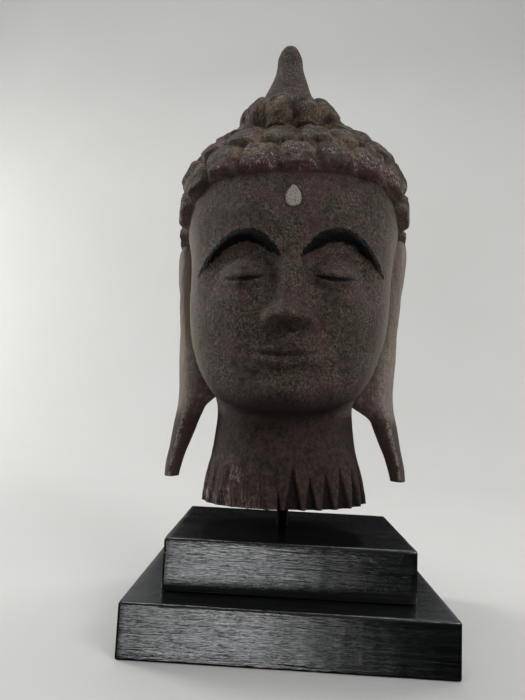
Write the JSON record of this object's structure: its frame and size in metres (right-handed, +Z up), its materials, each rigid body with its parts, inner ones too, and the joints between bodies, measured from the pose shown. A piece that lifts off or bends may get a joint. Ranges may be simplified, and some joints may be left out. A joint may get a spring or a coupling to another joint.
{
  "type": "carved buddha head on a stepped stand",
  "caption": "Carved buddha head with tight curls, spire and long free earlobes, held on a short rod above a stepped black stand; a desk or shelf ornament.",
  "frame": {"origin": "centre of the lower plinth block's underside, on the surface that the stand rests on", "axes": "+Z up, the face looks along -Y, +X to the right of someone who looks at the face"},
  "size_m": [0.17, 0.1665, 0.3834],
  "materials": {
    "carved_wood": "dark, dry and granular, with worn red lacquer in the hollows and black painted brows",
    "pale_inlay": "pale, speckled and slightly rough",
    "black_rod": "satin black",
    "black_stand": "satin black paint with the wood's grain showing through"
  },
  "bodies": {
    "root": {"head": "carved_wood", "forehead_drop": "pale_inlay", "rod": "black_rod", "plinth_upper": "black_stand", "plinth_lower": "black_stand"}
  },
  "joints": []
}
